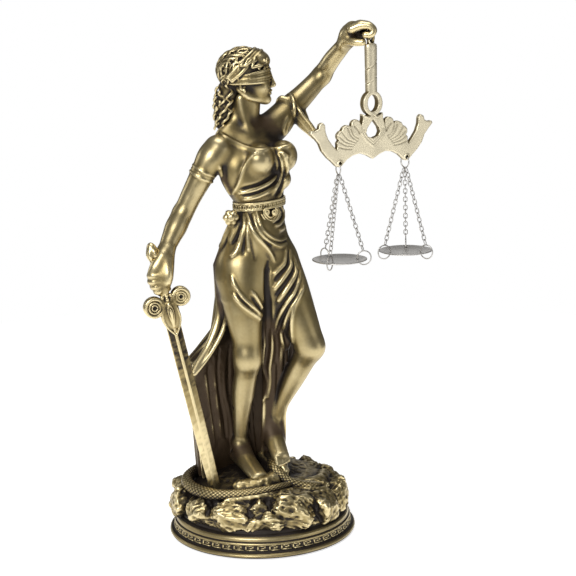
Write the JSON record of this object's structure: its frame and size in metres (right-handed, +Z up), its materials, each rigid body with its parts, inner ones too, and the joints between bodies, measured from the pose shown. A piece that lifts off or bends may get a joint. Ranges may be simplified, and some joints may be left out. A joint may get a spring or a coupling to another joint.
{
  "type": "lady justice statue",
  "caption": "Standing blindfolded figure in long drapery with a lowered sword and raised scales, a snake underfoot, on rocks and a round plinth.",
  "frame": {"origin": "centre of the plinth's underside", "axes": "+Z up, -Y towards the front of the plinth, +X towards the side of the raised arm"},
  "size_m": [0.1715, 0.1142, 0.3084],
  "materials": {
    "aged_bronze": "cold-cast resin with an aged bronze finish, dark in the hollows and polished pale gold on the high parts",
    "champagne_gold": "satin pale gold plating on cast zinc",
    "nickel_steel": "nickel-plated wire and thin sheet"
  },
  "bodies": {
    "root": {"statue": "aged_bronze", "balance": "champagne_gold", "beam_ring_left": "nickel_steel", "beam_ring_right": "nickel_steel", "chain_left_1": "nickel_steel", "chain_left_2": "nickel_steel", "chain_left_3": "nickel_steel", "chain_right_1": "nickel_steel", "chain_right_2": "nickel_steel", "chain_right_3": "nickel_steel", "pan_left": "nickel_steel", "pan_right": "nickel_steel", "pan_ring_left_1": "nickel_steel", "pan_ring_left_2": "nickel_steel", "pan_ring_left_3": "nickel_steel", "pan_ring_right_1": "nickel_steel", "pan_ring_right_2": "nickel_steel", "pan_ring_right_3": "nickel_steel"}
  },
  "joints": []
}
